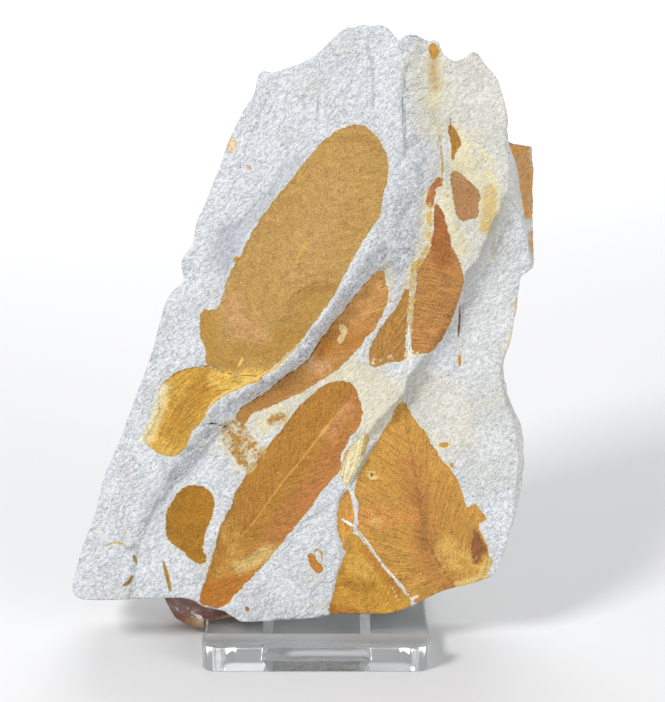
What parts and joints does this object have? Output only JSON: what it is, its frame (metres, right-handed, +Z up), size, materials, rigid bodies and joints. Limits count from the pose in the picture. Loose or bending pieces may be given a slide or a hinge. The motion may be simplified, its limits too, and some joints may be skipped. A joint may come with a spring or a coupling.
{
  "type": "fossil leaf plate",
  "caption": "Broken plate of pale claystone with iron-stained fossil leaf imprints, leaning on a clear one-piece display stand.",
  "frame": {"origin": "under the middle of the whole object's box, on the surface that the stand rests on", "axes": "+X to the right across the leaf face, +Y to the back, +Z up; the face looks towards -Y and leans back"},
  "size_m": [0.1334, 0.0904, 0.1693],
  "materials": {
    "claystone": "matte",
    "clear_acrylic": "gloss"
  },
  "bodies": {
    "root": {"slab": "claystone", "stand": "clear_acrylic"}
  },
  "joints": []
}
